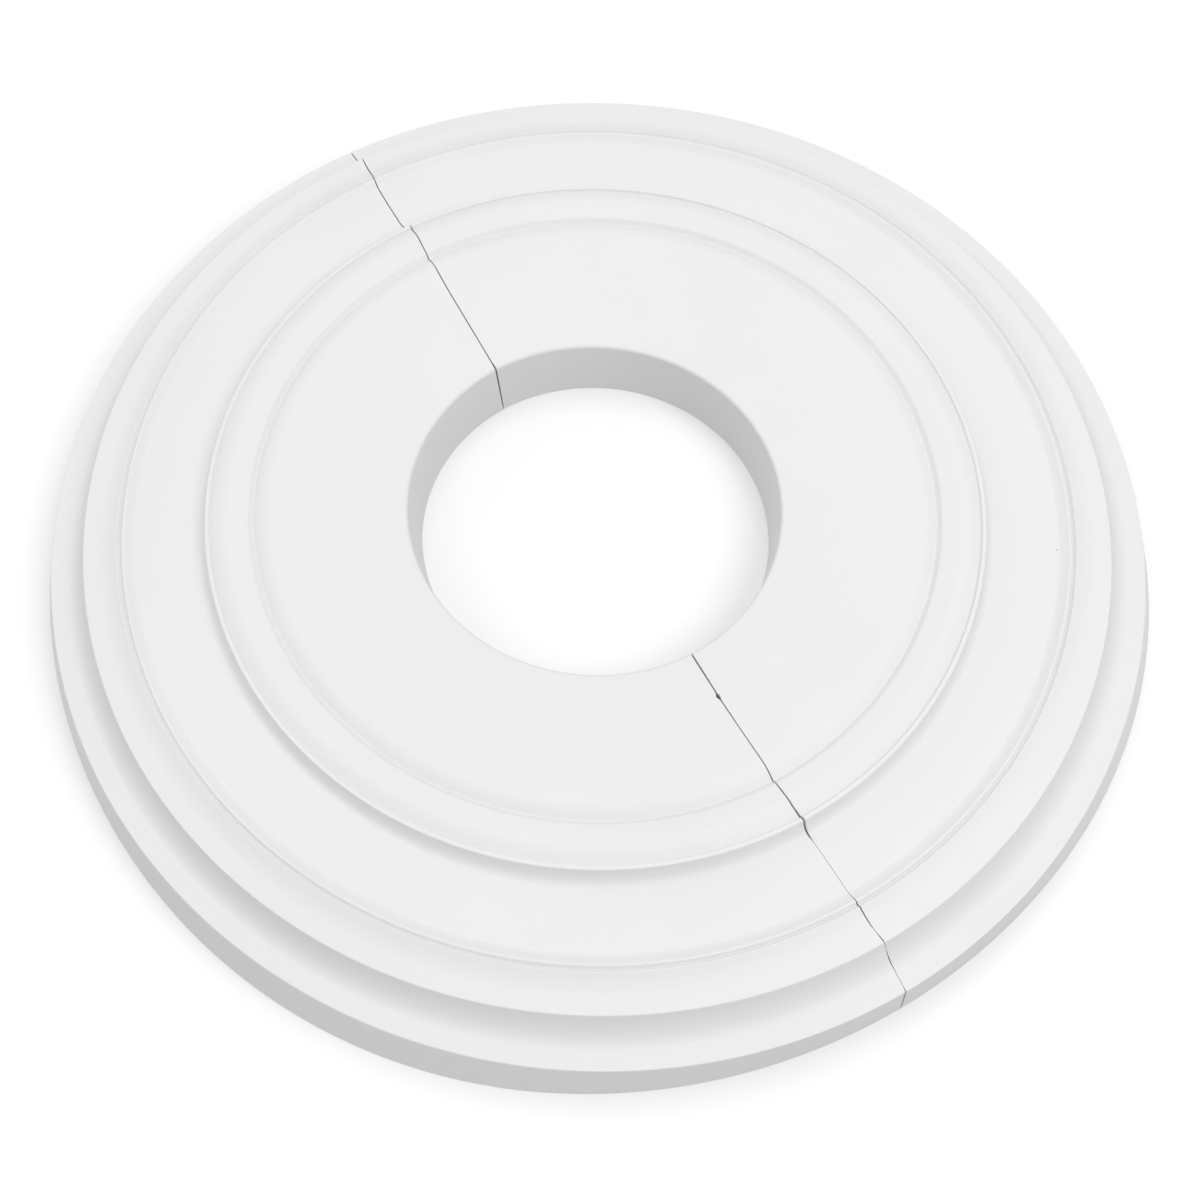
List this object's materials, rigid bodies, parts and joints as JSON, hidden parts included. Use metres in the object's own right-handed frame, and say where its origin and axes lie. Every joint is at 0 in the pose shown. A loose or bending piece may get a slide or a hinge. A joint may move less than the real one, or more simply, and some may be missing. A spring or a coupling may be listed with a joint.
{
  "type": "ceiling rose",
  "caption": "Round split ceiling rose with stepped concentric mouldings and a through hole, sawn in halves to close around a light fitting.",
  "frame": {"origin": "centre of the flat back, in the middle of the hole", "axes": "+Z out of the moulded face, away from the back; +Y along the joint between the halves; the right half lies towards +X"},
  "size_m": [0.4538, 0.4584, 0.0363],
  "materials": {
    "primed_foam": "smooth moulded polyurethane with white factory primer, low sheen"
  },
  "bodies": {
    "root": {"left_half": "primed_foam", "right_half": "primed_foam"}
  },
  "joints": []
}
